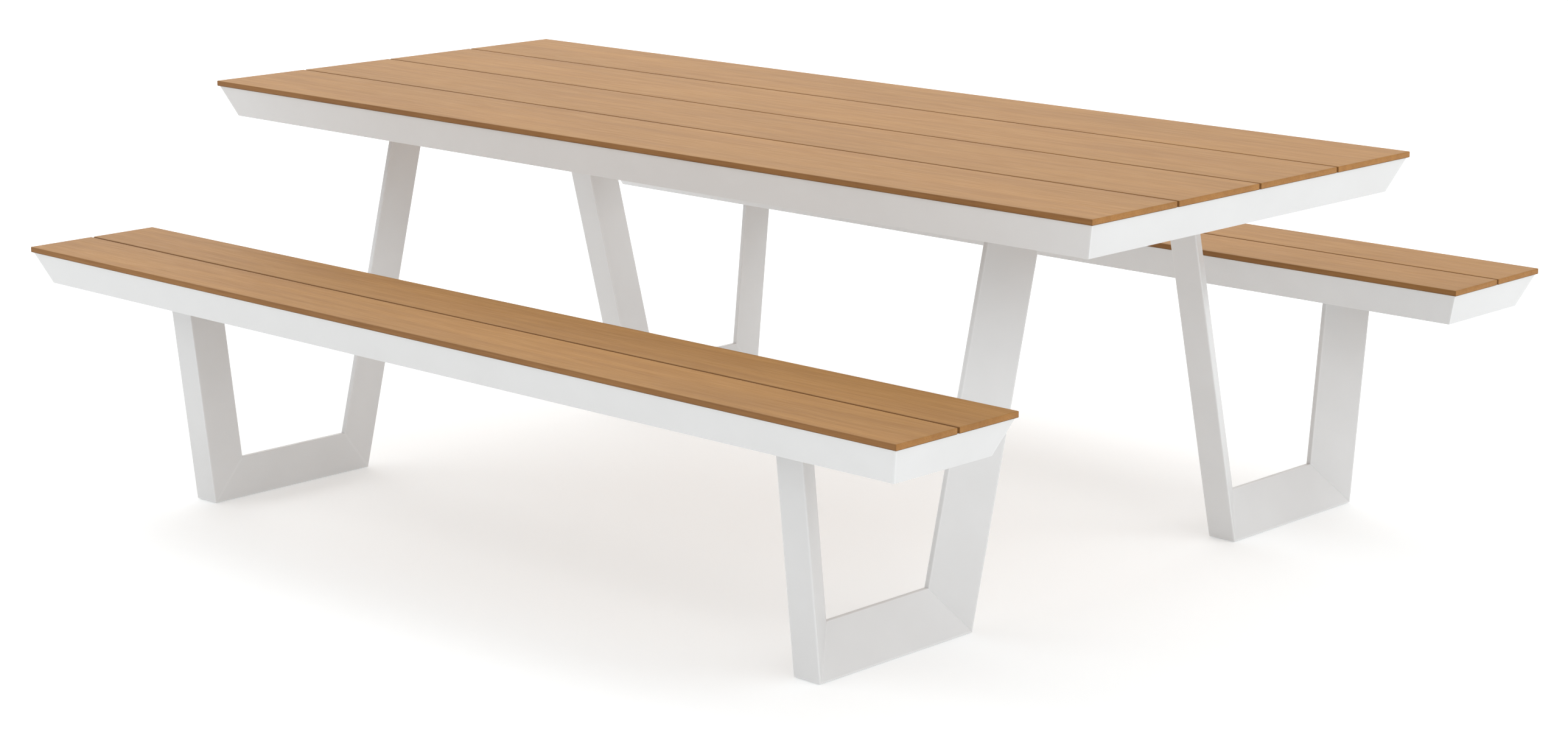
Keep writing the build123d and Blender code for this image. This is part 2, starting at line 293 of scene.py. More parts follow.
def coat_material():
    """White powder coat with a fine orange peel, a little glossier on the arrises and painted lighter
    there as a painted highlight.
    """
    material, tree, shader = new_material("white_coat")
    cloud = stretched_noise(tree, (9, 9, 9), detail=3.0)
    peel = stretched_noise(tree, (420, 420, 420), detail=2.0, roughness=0.45)
    speck = stretched_noise(tree, (1500, 1500, 1500), detail=1.0)

    dull = (0.690, 0.689, 0.686, 1)
    clean = (0.715, 0.715, 0.713, 1)
    ground = mixed_colour(tree, remap(tree, cloud, 0.3, 0.7), dull, clean)
    ground = mixed_colour(tree, remap(tree, speck, 0.62, 0.75, 0.0, 0.12), ground, grey(0.63))
    # Painted highlight: the coat's arrises, joint edges and weld beads are painted lighter for the
    # light that their rounded edges catch.
    wear_and_highlight = arithmetic(tree, "MULTIPLY", edge_wear_and_highlight(tree), 0.38)
    colour = mixed_colour(tree, wear_and_highlight, ground, grey(0.80))
    tree.links.new(colour, shader.inputs["Base Color"])

    rough = remap(tree, cloud, 0.3, 0.7, 0.40, 0.50)
    rough = arithmetic(tree, "MULTIPLY_ADD", edge_wear_and_highlight(tree), -0.08, rough)
    tree.links.new(rough, shader.inputs["Roughness"])
    bump = add_node(tree, "Bump", {"Strength": 0.22, "Distance": 0.08 * MM, "Height": peel})
    tree.links.new(bump.outputs[0], shader.inputs["Normal"])
    shader.inputs["IOR"].default_value = 1.47
    return material


def zinc_material():
    """Bright zinc plating with faint cloudy passivation and rubbed edges."""
    material, tree, shader = new_material("zinc_steel")
    cloud = stretched_noise(tree, (120, 120, 120), detail=3.0)
    scratch = stretched_noise(tree, (2600, 240, 240), detail=2.0)
    bluish = (0.52, 0.54, 0.56, 1)
    yellowish = (0.66, 0.66, 0.62, 1)
    rubbed = (0.74, 0.75, 0.76, 1)
    ground = mixed_colour(tree, remap(tree, cloud, 0.35, 0.65), bluish, yellowish)
    colour = mixed_colour(tree, edge_wear_and_highlight(tree), ground, rubbed)
    tree.links.new(colour, shader.inputs["Base Color"])
    tree.links.new(remap(tree, scratch, 0.3, 0.7, 0.24, 0.42), shader.inputs["Roughness"])
    bump = add_node(tree, "Bump", {"Strength": 0.2, "Distance": 0.05 * MM, "Height": scratch})
    tree.links.new(bump.outputs[0], shader.inputs["Normal"])
    shader.inputs["Metallic"].default_value = 1.0
    return material


def glide_material():
    """Pale moulded plastic with a fine spark-eroded texture, scuffed at the rim."""
    material, tree, shader = new_material("glide_plastic")
    grain = stretched_noise(tree, (1400, 1400, 1400), detail=2.0)
    cloud = stretched_noise(tree, (60, 60, 60), detail=1.0)
    ground = mixed_colour(tree, remap(tree, cloud, 0.3, 0.7), grey(0.50), grey(0.58))
    wear_and_highlight = arithmetic(tree, "MULTIPLY", edge_wear_and_highlight(tree), 0.6)
    colour = mixed_colour(tree, wear_and_highlight, ground, grey(0.68))
    tree.links.new(colour, shader.inputs["Base Color"])
    tree.links.new(remap(tree, grain, 0.3, 0.7, 0.55, 0.7), shader.inputs["Roughness"])
    bump = add_node(tree, "Bump", {"Strength": 0.3, "Distance": 0.06 * MM, "Height": grain})
    tree.links.new(bump.outputs[0], shader.inputs["Normal"])
    return material


FLOOR_GLOW = 0.28  # the floor is a translucent sheet lit from below


def floor_material():
    """Matt white studio floor with the faintest unevenness."""
    material, tree, shader = new_material("studio_floor")
    cloud = stretched_noise(tree, (0.8, 0.8, 0.8), detail=2.0)
    colour = mixed_colour(
        tree, remap(tree, cloud, 0.3, 0.7), (0.822, 0.838, 0.842, 1), (0.828, 0.844, 0.848, 1)
    )
    tree.links.new(colour, shader.inputs["Base Color"])
    shader.inputs["Roughness"].default_value = 0.9
    shader.inputs["Specular IOR Level"].default_value = 0.1
    shader.inputs["Emission Color"].default_value = grey(1.0)
    shader.inputs["Emission Strength"].default_value = FLOOR_GLOW
    return material


COAT = coat_material()
ZINC = zinc_material()
PLASTIC = glide_material()


# ---- mesh helpers ---------------------------------------------------------------------------------


def new_bmesh():
    made = bmesh.new()
    made.verts.layers.float.new("edge")
    return made


def finish_piece(bm, name, material, nodes=()):
    """Turns a bmesh into a piece that rides on the table's one body and stands for CAD nodes."""
    bmesh.ops.recalc_face_normals(bm, faces=bm.faces)
    mesh = bpy.data.meshes.new(name)
    bm.to_mesh(mesh)
    bm.free()
    mesh.materials.append(material)
    mesh.shade_smooth()
    mesh.set_sharp_from_angle(angle=radians(SHARP_ANGLE))
    piece = bpy.data.objects.new(name, mesh)
    bpy.context.scene.collection.objects.link(piece)
    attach(piece, "root")
    if nodes:
        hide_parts(*nodes)
    return piece


def loft(bm, rings, closed=False, capped=False):
    """Joins rings of (point, edge wear) into a skin. closed joins the last ring to the first."""
    layer = bm.verts.layers.float["edge"]
    made = []
    for ring in rings:
        verts = []
        for point, wear in ring:
            vert = bm.verts.new(point)
            vert[layer] = wear
            verts.append(vert)
        made.append(verts)
    count = len(made[0])
    pairs = list(zip(made, made[1:]))
    if closed:
        pairs.append((made[-1], made[0]))
    for low, high in pairs:
        for i in range(count):
            j = (i + 1) % count
            bm.faces.new((low[i], low[j], high[j], high[i]))
    if capped:
        bm.faces.new(made[0])
        bm.faces.new(made[-1])
    return made


def anticlockwise(corners):
    area = sum(a.cross(b) for a, b in zip(corners, corners[1:] + corners[:1]))
    return corners if area > 0 else corners[::-1]


def inset_corners(corners, depth):
    """An anticlockwise polygon moved inwards by depth on every side."""
    moved = []
    for i, corner in enumerate(corners):
        before = (corner - corners[i - 1]).normalized()
        after = (corners[(i + 1) % len(corners)] - corner).normalized()
        first = Vector((-before.y, before.x))
        second = Vector((-after.y, after.x))
        moved.append(corner + (first + second) * (depth / (1 + first.dot(second))))
    return moved


def rounded_outline(corners, radius, band=EDGE_BAND):
    """A polygon's points with each corner an arc, and a point beside each arc where the edge band
    ends: wear on wood and zinc, a painted highlight on the white coat.
    """
    outline = []
    for i, corner in enumerate(corners):
        before = (corners[i - 1] - corner).normalized()
        after = (corners[(i + 1) % len(corners)] - corner).normalized()
        half = before.angle(after) / 2
        reach = radius / tan(half)
        centre = corner + (before + after).normalized() * (radius / sin(half))
        first = corner + before * reach - centre
        last = corner + after * reach - centre
        turn = first.angle(last)
        if band:
            outline.append((corner + before * (reach + band), 0.0))
        for step in range(ARC_STEPS + 1):
            share = step / ARC_STEPS
            arm = (first * sin((1 - share) * turn) + last * sin(share * turn)) / sin(turn)
            outline.append((centre + arm, 1.0))
        if band:
            outline.append((corner + after * (reach + band), 0.0))
    return outline


class Member:
    """A straight run of one section: drawn by (across, deep) from origin and cut by planes."""

    def __init__(self, corners, radius, origin, across, deep, along):
        self.corners = anticlockwise([Vector(c) for c in corners])
        self.radius = radius
        self.origin = origin
        self.across = across
        self.deep = deep
        self.along = along

    def ring(self, inset, plane, back=0.0, wear_and_highlight=False):
        """The section inset by a depth, on a plane (point, normal) moved back along its normal."""
        point, normal = plane
        point = point - normal * back
        radius = max(self.radius - inset, LEAST_ROUND)
        made = []
        for corner, wear in rounded_outline(inset_corners(self.corners, inset), radius, self.band()):
            made.append((self.at(corner, (point, normal)), 1.0 if wear_and_highlight else wear))
        return made

    def at(self, corner, plane):
        """Where the line through a point of the section meets a plane."""
        point, normal = plane
        start = self.origin + self.across * corner[0] + self.deep * corner[1]
        return start + self.along * ((point - start).dot(normal) / self.along.dot(normal))

    def band(self):
        """The edge band beside an arris, narrower where a side is short: a painted highlight on the
        white coat, wear on zinc.
        """
        flats = []
        for i, corner in enumerate(self.corners):
            after = self.corners[(i + 1) % len(self.corners)]
            flats.append((after - corner).length - self.reach(i) - self.reach(i + 1))
        return min(EDGE_BAND, 0.25 * min(flats))

    def reach(self, i):
        """How far a corner's arc takes from the sides beside it."""
        count = len(self.corners)
        corner = self.corners[i % count]
        before = self.corners[(i - 1) % count] - corner
        after = self.corners[(i + 1) % count] - corner
        return self.radius / tan(before.angle(after) / 2)


def flipped(plane):
    """The same plane, facing the other way."""
    return plane[0], -plane[1]


def end_rings(member, plane, chamfer, wall=None, band=EDGE_BAND):
    """The rings at one end of a member, from its long faces inwards. A chamfer of 0 is a flush end."""
    rings = [member.ring(0, plane, chamfer + band), member.ring(0, plane, chamfer, chamfer > 0)]
    if chamfer:
        rings.append(member.ring(chamfer, plane, wear_and_highlight=True))
    if wall:
        rings.append(member.ring(wall, plane, wear_and_highlight=chamfer > 0))
    return rings


def tube_skin(bm, member, low, high, chamfer, wall):
    """A hollow member between two planes whose normals point away from it."""
    rings = end_rings(member, low, chamfer, wall)[::-1] + end_rings(member, high, chamfer, wall)
    loft(bm, rings, closed=True)


def solid_skin(bm, member, low, high, chamfers, band=EDGE_BAND):
    """A solid member between two such planes, with a chamfer for each end."""
    low_rings = end_rings(member, low, chamfers[0], band=band)
    high_rings = end_rings(member, high, chamfers[1], band=band)
    loft(bm, low_rings[::-1] + high_rings, capped=True)


def bead(bm, path, radius, closed=False, ripple=0.0):
    """A round weld bead along points. ripple is how much its radius swells at each pool."""
    layer = bm.verts.layers.float["edge"]
    count = len(path)
    travelled = 0.0
    rings = []
    for i, point in enumerate(path):
        ahead = path[(i + 1) % count] if closed or i + 1 < count else point
        behind = path[i - 1] if closed or i else point
        forward = (ahead - behind).normalized()
        side = forward.orthogonal().normalized() if not rings else rings[-1][1]
        side = (side - forward * side.dot(forward)).normalized()
        other = forward.cross(side)
        if i:
            travelled += (point - path[i - 1]).length
        swell = radius * (1 + ripple * abs(sin(pi * travelled / WELD_RIPPLE_PITCH)))
        verts = []
        for s in range(BEAD_SIDES):
            angle = 2 * pi * s / BEAD_SIDES
            vert = bm.verts.new(point + (side * cos(angle) + other * sin(angle)) * swell)
            vert[layer] = BEAD_PAINTED_HIGHLIGHT
            verts.append(vert)
        rings.append((verts, side))
    skins = [verts for verts, _ in rings]
    pairs = list(zip(skins, skins[1:]))
    if closed:
        pairs.append((skins[-1], nearest_turn(skins[-1], skins[0])))
    for low, high in pairs:
        for s in range(BEAD_SIDES):
            t = (s + 1) % BEAD_SIDES
            bm.faces.new((low[s], low[t], high[t], high[s]))
    if not closed:
        bm.faces.new(skins[0])
        bm.faces.new(skins[-1])


def nearest_turn(ring, target):
    """The target ring started at the vertex that lines up best with ring's first."""
    count = len(target)

    def distance(turn):
        return sum((ring[i].co - target[(i + turn) % count].co).length for i in range(count))

    start = min(range(count), key=distance)
    return target[start:] + target[:start]


def evenly_spaced(path, spacing, closed=False):
    """Points along straight runs between the path's points, no further apart than spacing."""
    runs = list(zip(path, path[1:] + path[:1] if closed else path[1:]))
    spaced = []
    for a, b in runs:
        steps = max(1, ceil((b - a).length / spacing))
        spaced += [a.lerp(b, step / steps) for step in range(steps)]
    return spaced if closed else spaced + [path[-1]]


# ---- boards ---------------------------------------------------------------------------------------


def board_relief(x, y, seed):
    """How far the planed surface lies below its highest, 0 to BOARD_RELIEF."""
    wave = noise.noise(Vector((x * RELIEF_ALONG, y * RELIEF_ACROSS, seed)))
    return BOARD_RELIEF * (0.5 - 0.5 * max(-1.0, min(1.0, RELIEF_CONTRAST * wave)))


def build_board(node, number, seed, tone):
    """One board: arrises rounded all round, and faint planed hollows along its top."""
    low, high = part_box(node)
    middle_y = (low.y + high.y) / 2
    middle_z = (low.z + high.z) / 2
    half_width = (high.y - low.y) / 2
    half_depth = (high.z - low.z) / 2
    arc = [pi / 2 * step / ARC_STEPS for step in range(ARC_STEPS + 1)]
    ends = [(BOARD_ARRIS * (1 - sin(a)), BOARD_ARRIS * (1 - cos(a))) for a in arc]
    band = BOARD_ARRIS + EDGE_BAND
    span = [
        low.x + band + (high.x - low.x - 2 * band) * step / BOARD_STATIONS
        for step in range(BOARD_STATIONS + 1)
    ]
    places = [(low.x + back, inset, 1.0) for back, inset in reversed(ends)]
    places += [(x, 0.0, 0.0) for x in span]
    places += [(high.x - back, inset, 1.0) for back, inset in ends]

    bm = new_bmesh()
    rings = []
    for x, inset, end_wear in sorted(places):
        w = half_width - inset
        d = half_depth - inset
        radius = max(BOARD_ARRIS - inset, BOARD_LEAST_ARRIS)
        corners = [Vector(c) for c in ((-w, -d), (w, -d), (w, d), (-w, d))]
        outline = rounded_outline(corners, radius)
        top_start = max(i for i, (p, _) in enumerate(outline) if p.x > 0)
        first = outline[top_start][0].x
        last = outline[(top_start + 1) % len(outline)][0].x
        extra = [
            (Vector((first + (last - first) * step / BOARD_ROWS, d)), 0.0)
            for step in range(1, BOARD_ROWS)
        ]
        outline = outline[: top_start + 1] + extra + outline[top_start + 1 :]
        ring = []
        for point, wear in outline:
            y = middle_y + point.x
            z = middle_z + point.y
            if point.y > d - NEARLY and not end_wear and not wear:
                z -= board_relief(x, y, seed)
            ring.append((Vector((x, y, z)), max(wear, end_wear)))
        rings.append(ring)
    loft(bm, rings, capped=True)
    material = board_material(f"board_wood_{number}", seed, tone)
    return finish_piece(bm, node + "_planed", material, [node])


BOARD_TONES = (0.01, -0.01, 0.0, 0.01, -0.015, -0.04, 0.0, 0.02)  # one for each board, in order
SEED_STEP = 1.73


def build_boards():
    number = 0
    for tray in TRAYS:
        for place in range(BOARD_COUNTS[tray]):
            tone = BOARD_TONES[number]
            number += 1
            build_board(f"{tray}_board_{place + 1}", number, number * SEED_STEP, tone)


# ---- rails ----------------------------------------------------------------------------------------


def tray_box(tray):
    """The box of a tray's boards: (low, high)."""
    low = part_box(f"{tray}_board_1")[0]
    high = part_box(f"{tray}_board_{BOARD_COUNTS[tray]}")[1]
    return low, high


def rail_shape(tray):
    """A tray's rail: its top's set-back from the boards, its height, its lean, its sheet cut level."""
    rail_low, rail_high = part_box(f"{tray}_rail_front")
    top_inset = rail_low.y - tray_box(tray)[0].y
    height = rail_high.z - rail_low.z
    run = RAIL_BOTTOM_INSET - top_inset
    level_sheet = RAIL_SHEET * sqrt(run**2 + height**2) / height
    return top_inset, height, run, level_sheet


def rail_sections(tray):
    """Each rail of a tray as a Member with its two mitre planes: [(side, member, low, high)]."""
    low, high = tray_box(tray)
    top_inset, height, run, level_sheet = rail_shape(tray)

    def web(drop):
        return -top_inset - drop * run / height

    corners = [
        (web(0) - RAIL_FLANGE, 0),
        (web(0), 0),
        (web(height), -height),
        (web(height) - RAIL_LIP, -height),
        (web(height) - RAIL_LIP, RAIL_SHEET - height),
        (web(height - RAIL_SHEET) - level_sheet, RAIL_SHEET - height),
        (web(RAIL_SHEET) - level_sheet, -RAIL_SHEET),
        (web(0) - RAIL_FLANGE, -RAIL_SHEET),
    ]
    centre = (low + high) / 2
    centre.z = low.z
    half = (high - low) / 2
    found = []
    for side, outwards, reach, span in (
        ("back", Vector((0, 1, 0)), half.y, half.x),
        ("front", Vector((0, -1, 0)), half.y, half.x),
        ("right", Vector((1, 0, 0)), half.x, half.y),
        ("left", Vector((-1, 0, 0)), half.x, half.y),
    ):
        along = outwards.cross(UP)
        middle = centre + outwards * reach
        member = Member(corners, RAIL_ROUND, middle, outwards, UP, along)
        planes = [
            (middle + along * end * span, (along * end - outwards).normalized()) for end in (-1, 1)
        ]
        found.append((side, member, planes[0], planes[1]))
    return found


def build_rails():
    for tray in TRAYS:
        for side, member, low, high in rail_sections(tray):
            bm = new_bmesh()
            solid_skin(bm, member, low, high, (JOINT_CHAMFER, JOINT_CHAMFER))
            node = f"{tray}_rail_{side}"
            finish_piece(bm, node + "_folded", COAT, [node])


def build_tray_seams():
    """The mitre welds of a tray, ground flush down the outside of its corners."""
    for tray in TRAYS:
        bm = new_bmesh()
        for _, member, _, high in rail_sections(tray):
            corners = inset_corners(member.corners, SEAM_RADIUS)
            top = max(corners, key=lambda corner: corner.x)
            bottom = min(corners, key=lambda corner: (round(corner.y, 6), -corner.x))
            path = [member.at(corner, high) for corner in (bottom, top)]
            bead(bm, evenly_spaced(path, TRAY_SEAM_STEP), SEAM_RADIUS + SEAM_PROUD)
        finish_piece(bm, f"{tray}_corner_seams", COAT)


# ---- bearers and plates ---------------------------------------------------------------------------


def bearer_ends(tray):
    """For each side of Y: the plane where the rail's flange ends, and the inside of its web."""
    low, high = tray_box(tray)
    top_inset, height, run, level_sheet = rail_shape(tray)
    found = []
    for side_y, edge in ((-1, low.y), (1, high.y)):
        flange_end = Vector((0, edge - side_y * (top_inset + RAIL_FLANGE), low.z))
        web_inside = Vector((0, edge - side_y * (top_inset + level_sheet), low.z))
        lean = Vector((0, side_y * height, -run)).normalized()
        found.append(((flange_end, Vector((0, side_y, 0))), (web_inside, lean)))
    return found


def bearer_sections(node):
    """A bearer's full tube, the open channel left of it under the flanges, and its weld's corners."""
    low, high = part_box(node)
    half = (high.x - low.x) / 2
    depth = high.z - low.z
    side = depth - RAIL_SHEET
    inner = half - BEARER_WALL
    tube = [(-half, 0), (half, 0), (half, depth), (-half, depth)]
    channel = [
        (-half, 0),
        (half, 0),
        (half, side),
        (inner, side),
        (inner, BEARER_WALL),
        (-inner, BEARER_WALL),
        (-inner, side),
        (-half, side),
    ]
    origin = Vector(((low.x + high.x) / 2, (low.y + high.y) / 2, low.z))
    axes = (origin, Vector((1, 0, 0)), UP, Vector((0, 1, 0)))
    weld_corners = [(-half, side), (-half, 0), (half, 0), (half, side)]
    return Member(tube, BEARER_ROUND, *axes), Member(channel, BEARER_ROUND, *axes), weld_corners


def build_bearers():
    """Tubes across the trays, coped under the rails' flanges and welded to their webs."""
    for tray in TRAYS:
        ends = bearer_ends(tray)
        for row in BEARER_ROWS:
            node = f"{tray}_bearer_{row}"
            tube, channel, weld_corners = bearer_sections(node)
            bm = new_bmesh()
            welds = new_bmesh()
            for flange_end, web in ends:
                start = (flange_end[0] + flange_end[1] * COPE_GAP, -flange_end[1])
                solid_skin(bm, channel, start, web, (0, JOINT_CHAMFER), BEARER_END_BAND)
                path = [channel.at(corner, web) for corner in weld_corners]
                path = evenly_spaced(path, WELD_STEP)
                bead(welds, path, BEARER_WELD_RADIUS, ripple=WELD_RIPPLE)
            tube_skin(bm, tube, ends[0][0], ends[1][0], 0, BEARER_WALL)
            finish_piece(bm, node + "_tube", COAT, [node])
            finish_piece(welds, node + "_welds", COAT)


def plate_skin(bm, low, high, radius):
    """A flat plate filling a box, with rounded corners and broken edges."""
    half = (high - low) / 2
    corners = [(-half.x, -half.y), (half.x, -half.y), (half.x, half.y), (-half.x, half.y)]
    member = Member(corners, radius, (low + high) / 2, Vector((1, 0, 0)), Vector((0, 1, 0)), UP)
    chamfers = (JOINT_CHAMFER, JOINT_CHAMFER)
    solid_skin(bm, member, (low, -UP), (high, UP), chamfers, band=half.z / 2)


def build_plates():
    """The leg plates, and the threaded plates above them inside the bearers."""
    for tray in ("table", "bench"):
        tapping_node = f"{tray}_tapping_plates"
        tapping_low, tapping_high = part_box(tapping_node)
        tapping = new_bmesh()
        for corner, _, _ in CORNERS:
            node = f"{tray}_leg_plate_{corner}"
            low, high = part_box(node)
            bm = new_bmesh()
            plate_skin(bm, low, high, PLATE_ROUND)
            finish_piece(bm, node + "_cut", COAT, [node])
            middle = (low + high) / 2
            half_x = tapping_high.x - abs(middle.x)
            half_y = tapping_high.y - abs(middle.y)
            plate_low = Vector((middle.x - half_x, middle.y - half_y, tapping_low.z))
            plate_high = Vector((middle.x + half_x, middle.y + half_y, tapping_high.z))
            plate_skin(tapping, plate_low, plate_high, TAPPING_PLATE_ROUND)
        finish_piece(tapping, tapping_node + "_cut", ZINC, [tapping_node])


# ---- leg frames -----------------------------------------------------------------------------------


class LegFrame:
    """One U of two legs and a foot bar, measured from the right back frame and mirrored."""

    def __init__(self, side_x, side_y):
        self.mirror = Vector((side_x, side_y, 1))
        foot_low, foot_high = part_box("foot_bar_right_back")
        self.flat_x = foot_low.x
        self.thick = foot_high.x - foot_low.x
        self.bottom = foot_low.z
        self.bar_height = foot_high.z - foot_low.z
        self.foot_y = {"outer": foot_high.y, "inner": foot_low.y}
        outer_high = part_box("outer_leg_right_back")[1]
        inner_low, inner_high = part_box("inner_leg_right_back")
        self.top = {"outer": outer_high.z, "inner": inner_high.z}
        rise = {leg: self.top[leg] - self.bottom for leg in self.top}
        self.lean = {
            "outer": atan2(outer_high.y - foot_high.y, rise["outer"]),
            "inner": -atan2(foot_low.y - inner_low.y, rise["inner"]),
        }
        self.inwards = {"outer": -1, "inner": 1}

    def mirrored(self, vector):
        return Vector(a * b for a, b in zip(vector, self.mirror))

    def plane(self, point, normal):
        return self.mirrored(point), self.mirrored(normal).normalized()

    def mitre(self, leg):
        """The corner's plane, facing away from the leg."""
        foot_y = self.foot_y[leg]
        lean = self.lean[leg]
        inwards = self.inwards[leg]
        crossing = foot_y + self.bar_height * tan(lean) + inwards * LEG_WIDTH / cos(lean)
        run = Vector((0, crossing - foot_y, self.bar_height))
        normal = run.cross(Vector((inwards, 0, 0)))
        return self.plane(Vector((self.flat_x, foot_y, self.bottom)), normal)

    def leg_member(self, leg):
        lean = self.lean[leg]
        inwards = self.inwards[leg]
        along = Vector((0, sin(lean), cos(lean)))
        across = Vector((0, inwards * cos(lean), -inwards * sin(lean)))
        corners = [(0, 0), (LEG_WIDTH, 0), (LEG_WIDTH, WEDGE_THIN), (0, self.thick)]
        return Member(
            corners,
            WEDGE_ROUND,
            self.mirrored(Vector((self.flat_x, self.foot_y[leg], self.bottom))),
            self.mirrored(across),
            self.mirrored(Vector((1, 0, 0))),
            self.mirrored(along),
        )

    def bar_member(self):
        corners = [(0, 0), (self.bar_height, 0), (self.bar_height, WEDGE_THIN), (0, self.thick)]
        return Member(
            corners,
            WEDGE_ROUND,
            self.mirrored(Vector((self.flat_x, self.foot_y["inner"], self.bottom))),
            UP,
            self.mirrored(Vector((1, 0, 0))),
            self.mirrored(Vector((0, 1, 0))),
        )

    def top_plane(self, leg):
        return self.plane(Vector((0, 0, self.top[leg])), UP)


def build_leg_frames():
    for corner, side_x, side_y in CORNERS:
        u_frame = LegFrame(side_x, side_y)
        for leg in ("outer", "inner"):
            bm = new_bmesh()
            member = u_frame.leg_member(leg)
            mitre = u_frame.mitre(leg)
            if mitre[1].z > 0:
                mitre = flipped(mitre)
            tube_skin(bm, member, mitre, u_frame.top_plane(leg), JOINT_CHAMFER, WEDGE_WALL)
            node = f"{leg}_leg_{corner}"
            finish_piece(bm, node + "_tube", COAT, [node])
        bm = new_bmesh()
        planes = []
        for leg in ("inner", "outer"):
            mitre = u_frame.mitre(leg)
            planes.append(flipped(mitre) if mitre[1].z < 0 else mitre)
        tube_skin(bm, u_frame.bar_member(), planes[0], planes[1], JOINT_CHAMFER, WEDGE_WALL)
        node = f"foot_bar_{corner}"
        finish_piece(bm, node + "_tube", COAT, [node])


def build_frame_welds():
    """Flush seams at the foot corners and rippled fillet welds under the leg plates."""
    for corner, side_x, side_y in CORNERS:
        u_frame = LegFrame(side_x, side_y)
        seams = new_bmesh()
        fillets = new_bmesh()
        for leg in ("outer", "inner"):
            member = u_frame.leg_member(leg)
            seam = [point for point, _ in member.ring(SEAM_RADIUS, u_frame.mitre(leg))]
            bead(seams, evenly_spaced(seam, FOOT_SEAM_STEP, True), SEAM_RADIUS + SEAM_PROUD, True)
            top = [point for point, _ in member.ring(0, u_frame.top_plane(leg), LEG_WELD_DROP)]
            path = evenly_spaced(top, WELD_STEP, True)
            bead(fillets, path, LEG_WELD_RADIUS, True, ripple=WELD_RIPPLE)
        finish_piece(seams, f"foot_corner_seams_{corner}", COAT)
        finish_piece(fillets, f"leg_plate_welds_{corner}", COAT)


# ---- fixings --------------------------------------------------------------------------------------


def level_ring(centre, z, radius_at, wear=0.0):
    """A level ring of points and their wear, whose radius is a function of the angle."""
    ring = []
    for step in range(RING_STEPS):
        angle = 2 * pi * step / RING_STEPS
        arm = Vector((cos(angle), sin(angle), 0)) * radius_at(angle)
        ring.append((Vector((centre.x, centre.y, z)) + arm, wear))
    return ring


def circle(centre, radius, z, wear=0.0):
    return level_ring(centre, z, lambda angle: radius, wear)


def hexagon(centre, flats, z, wear=0.0):
    """A ring on a hexagon, flats wide."""

    def radius_at(angle):
        off_middle = (angle + pi / 6) % (pi / 3) - pi / 6
        return flats / 2 / cos(off_middle)

    return level_ring(centre, z, radius_at, wear)


def star(centre, radius, z, wear=0.0):
    """A lobed ring, as the recess of a star-drive screw has."""

    def radius_at(angle):
        return radius * (1 + SCREW_RECESS_LOBE_DEPTH * cos(SCREW_RECESS_LOBES * angle))

    return level_ring(centre, z, radius_at, wear)


def threaded_rings(centre, radius, low, high, pitch, depth):
    """Rings up a rod whose radius follows a rolled thread that fades out at both ends."""
    rows = ceil((high - low) / (pitch / THREAD_ROWS))
    rings = []
    for row in range(rows + 1):
        z = low + (high - low) * row / rows
        fade = min(1.0, THREAD_FADE * min(row, rows - row) / rows)
        turns = (z - low) / pitch

        def radius_at(angle):
            phase = (turns - angle / (2 * pi)) % 1.0
            return radius - depth * fade * abs(2 * phase - 1)

        rings.append(level_ring(centre, z, radius_at, THREAD_WEAR))
    return rings


def add_washer(bm, point, low, high):
    hole = BOLT_RADIUS + BROKEN_EDGE
    rings = [
        circle(point, hole, low, 0.6),
        circle(point, WASHER_RADIUS - BROKEN_EDGE, low, 1.0),
        circle(point, WASHER_RADIUS, low + BROKEN_EDGE, 1.0),
        circle(point, WASHER_RADIUS, high - BROKEN_EDGE, 0.6),
        circle(point, WASHER_RADIUS - BROKEN_EDGE, high, 0.6),
        circle(point, hole, high, 0.0),
    ]
    loft(bm, rings, closed=True)


def add_bolt(bm, point, seat, tip):
    """An M8 hexagon-head bolt with its washer. seat is the underside of the plate it pulls up."""
    top = seat - WASHER_THICKNESS
    low = top - BOLT_HEAD_HEIGHT
    face = BOLT_HEAD_FLATS / 2
    dish = BOLT_DISH_RADIUS
    head = [
        circle(point, dish - BROKEN_EDGE, low + BROKEN_EDGE, 0.3),
        circle(point, dish, low, 0.6),
        circle(point, face - BROKEN_EDGE, low, 1.0),
        hexagon(point, BOLT_HEAD_FLATS, low + BOLT_HEAD_BEVEL, 0.8),
        hexagon(point, BOLT_HEAD_FLATS, top - BROKEN_EDGE, 0.3),
        hexagon(point, BOLT_HEAD_FLATS - BROKEN_EDGE, top, 0.8),
    ]
    radius = BOLT_RADIUS - THREAD_SLACK
    rod = threaded_rings(point, radius, top, tip, BOLT_THREAD_PITCH, BOLT_THREAD_DEPTH)
    loft(bm, head + rod, capped=True)
    add_washer(bm, point, top, seat)


def add_screw(bm, point, seat, tip):
    """A pan-head star-drive screw whose head bears on seat and whose thread runs up to tip."""
    low = seat - SCREW_HEAD_HEIGHT
    bulge = SCREW_HEAD_HEIGHT * SCREW_HEAD_BULGE
    rim = BROKEN_EDGE / 2
    rings = [
        star(point, SCREW_RECESS_RADIUS - rim, low + SCREW_RECESS_DEPTH, 0.0),
        star(point, SCREW_RECESS_RADIUS, low + rim, 0.5),
        star(point, SCREW_RECESS_RADIUS + rim, low, 1.0),
        circle(point, SCREW_HEAD_RADIUS - bulge, low, 0.5),
    ]
    for step in range(1, ARC_STEPS + 1):
        angle = pi / 2 * step / ARC_STEPS
        radius = SCREW_HEAD_RADIUS - bulge * (1 - sin(angle))
        rings.append(circle(point, radius, low + bulge * (1 - cos(angle)), 0.6))
    rings.append(circle(point, SCREW_HEAD_RADIUS, seat - rim, 0.8))
    rings.append(circle(point, SCREW_HEAD_RADIUS - rim, seat, 0.8))
    rings += threaded_rings(point, SCREW_RADIUS, seat, tip, SCREW_THREAD_PITCH, SCREW_THREAD_DEPTH)
    loft(bm, rings, capped=True)


